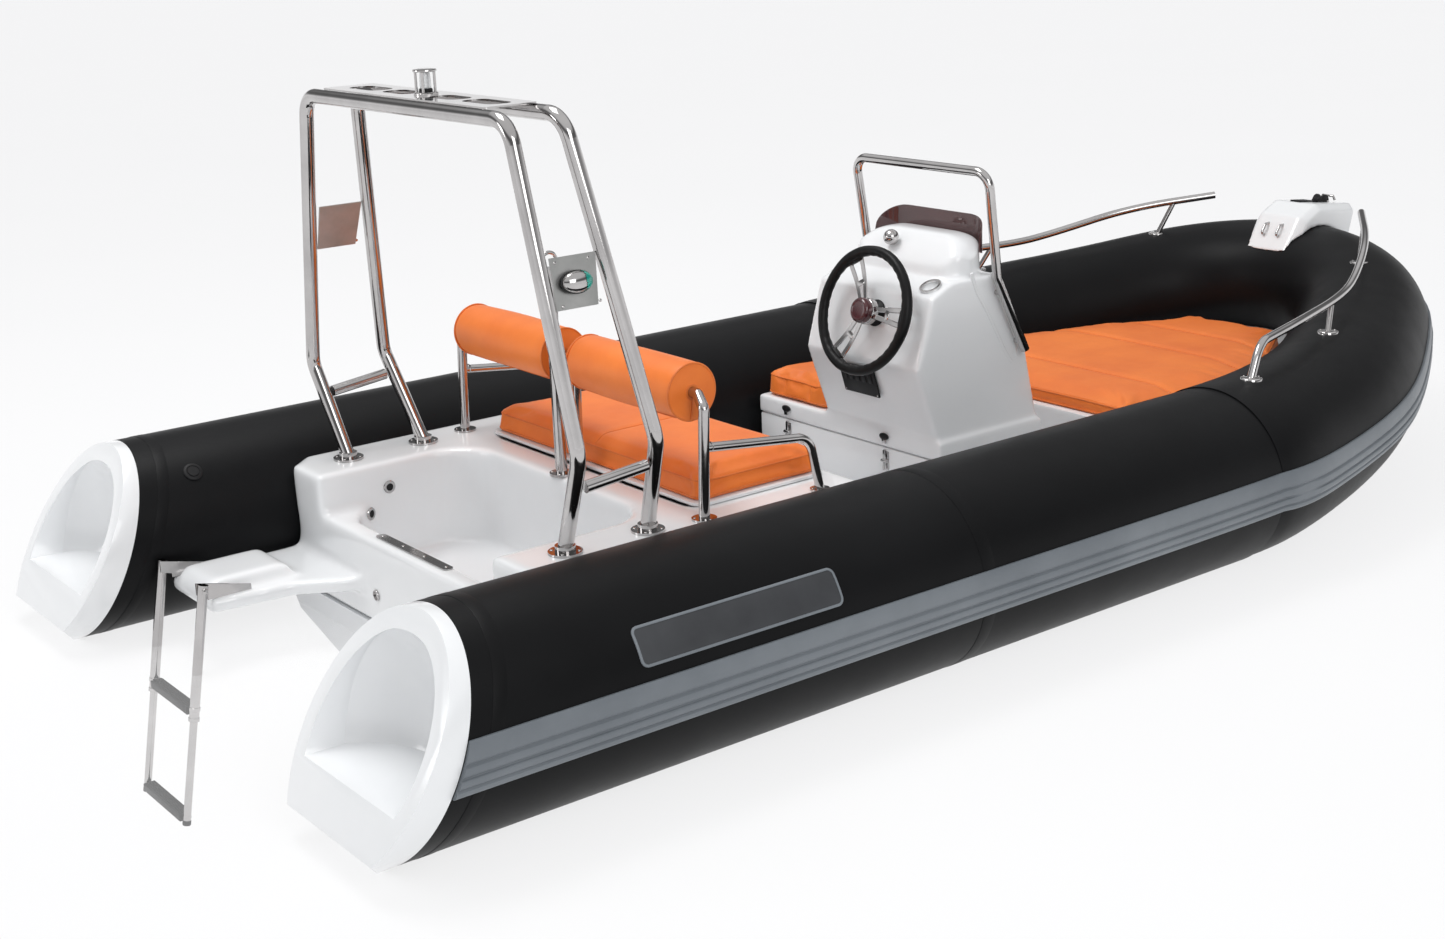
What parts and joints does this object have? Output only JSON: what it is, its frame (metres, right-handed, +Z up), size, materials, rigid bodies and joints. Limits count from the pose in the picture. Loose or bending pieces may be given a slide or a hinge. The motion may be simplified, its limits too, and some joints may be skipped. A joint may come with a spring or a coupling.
{
  "type": "rigid inflatable boat",
  "caption": "Rigid inflatable boat with a V hull, black inflatable collar, helm console, light arch, cushioned seats, bow rails and a folding swim ladder.",
  "frame": {"origin": "on the waterline, on the centreline, 2.2 m forward of the aft ends of the collar", "axes": "+X to the bow, +Y to port, +Z up"},
  "size_m": [4.537, 2.264, 1.9121],
  "materials": {
    "collar_fabric": "satin",
    "gelcoat_white": "gloss",
    "hull_gelcoat": "gloss",
    "deck_grip": "matte",
    "strake_grey": "satin",
    "stainless": "polished",
    "tread_plastic": "matte",
    "upholstery": "satin",
    "wheel_rim": "satin",
    "hub_plastic": "gloss",
    "smoked_screen": "gloss",
    "clear_lens": "gloss"
  },
  "bodies": {
    "root": {"all_round_light": "clear_lens", "anchor_pedestal": "gelcoat_white", "arch_aft_hoop": "stainless", "arch_braces": "stainless", "arch_forward_hoop": "stainless", "arch_side_plates": "stainless", "arch_top_plate": "stainless", "backrest_frame": "stainless", "bow_cushion": "upholstery", "bow_deck": "gelcoat_white", "cockpit_floor": "deck_grip", "deck_moulding": "gelcoat_white", "hull": "hull_gelcoat", "ladder_brackets": "stainless", "locker_base": "gelcoat_white", "locker_latches": "stainless", "port_backrest_roll": "upholstery", "port_bow_rail": "stainless", "port_end_cap": "gelcoat_white", "port_light": "stainless", "port_strake": "strake_grey", "port_tube": "collar_fabric", "seat_base": "gelcoat_white", "side_patches": "strake_grey", "starboard_backrest_roll": "upholstery", "starboard_bow_rail": "stainless", "starboard_end_cap": "gelcoat_white", "starboard_light": "stainless", "starboard_strake": "strake_grey", "starboard_tube": "collar_fabric", "swim_platform": "gelcoat_white", "tow_eyes": "stainless", "tow_post": "stainless", "transom_plate": "stainless", "valves": "tread_plastic", "well_drains": "stainless"},
    "ladder_upper": {"ladder_upper_legs": "stainless", "ladder_upper_tread": "tread_plastic"},
    "ladder_lower": {"ladder_lower_legs": "stainless", "ladder_lower_tread": "tread_plastic"},
    "seat_lid": {"aft_seat_lid": "gelcoat_white", "aft_seat_cushion": "upholstery", "aft_seat_latch": "stainless"},
    "console": {"console_moulding": "gelcoat_white", "passenger_cushion": "upholstery", "console_latches": "stainless", "windscreen": "smoked_screen", "console_handrail": "stainless", "helm_bezel": "tread_plastic", "compass": "stainless", "control_panel": "tread_plastic", "cup_holder_ring": "stainless"},
    "steering_wheel": {"steering_wheel_rim": "wheel_rim", "steering_wheel_spokes": "stainless", "steering_hub_cap": "hub_plastic"},
    "roller": {"anchor_roller": "tread_plastic"}
  },
  "joints": [
    {"name": "ladder_fold", "type": "hinge", "parent": "root", "child": "ladder_upper", "pos_m": [-1.942, 0.458, 0.219], "axis": [0, 1, 0], "range_deg": [0, 165]},
    {"name": "ladder_slide", "type": "slide", "parent": "ladder_upper", "child": "ladder_lower", "axis": [0.1874, 0, 0.9823], "range_m": [0, 0.22]},
    {"name": "seat_lid_hinge", "type": "hinge", "parent": "root", "child": "seat_lid", "pos_m": [-0.536, 0, 0.4145], "axis": [0, 1, 0], "range_deg": [0, 90]},
    {"name": "console_tilt", "type": "hinge", "parent": "root", "child": "console", "pos_m": [0.537, 0, 0.2565], "axis": [0, 1, 0], "range_deg": [0, 35]},
    {"name": "steering", "type": "hinge", "parent": "console", "child": "steering_wheel", "pos_m": [0.02, -0.03, 0.693], "axis": [-0.9585, 0, 0.285], "range_deg": [-540, 540]},
    {"name": "anchor_roller_spin", "type": "hinge", "parent": "root", "child": "roller", "pos_m": [2.262, 0, 0.742], "axis": [0, 1, 0], "continuous": true}
  ]
}
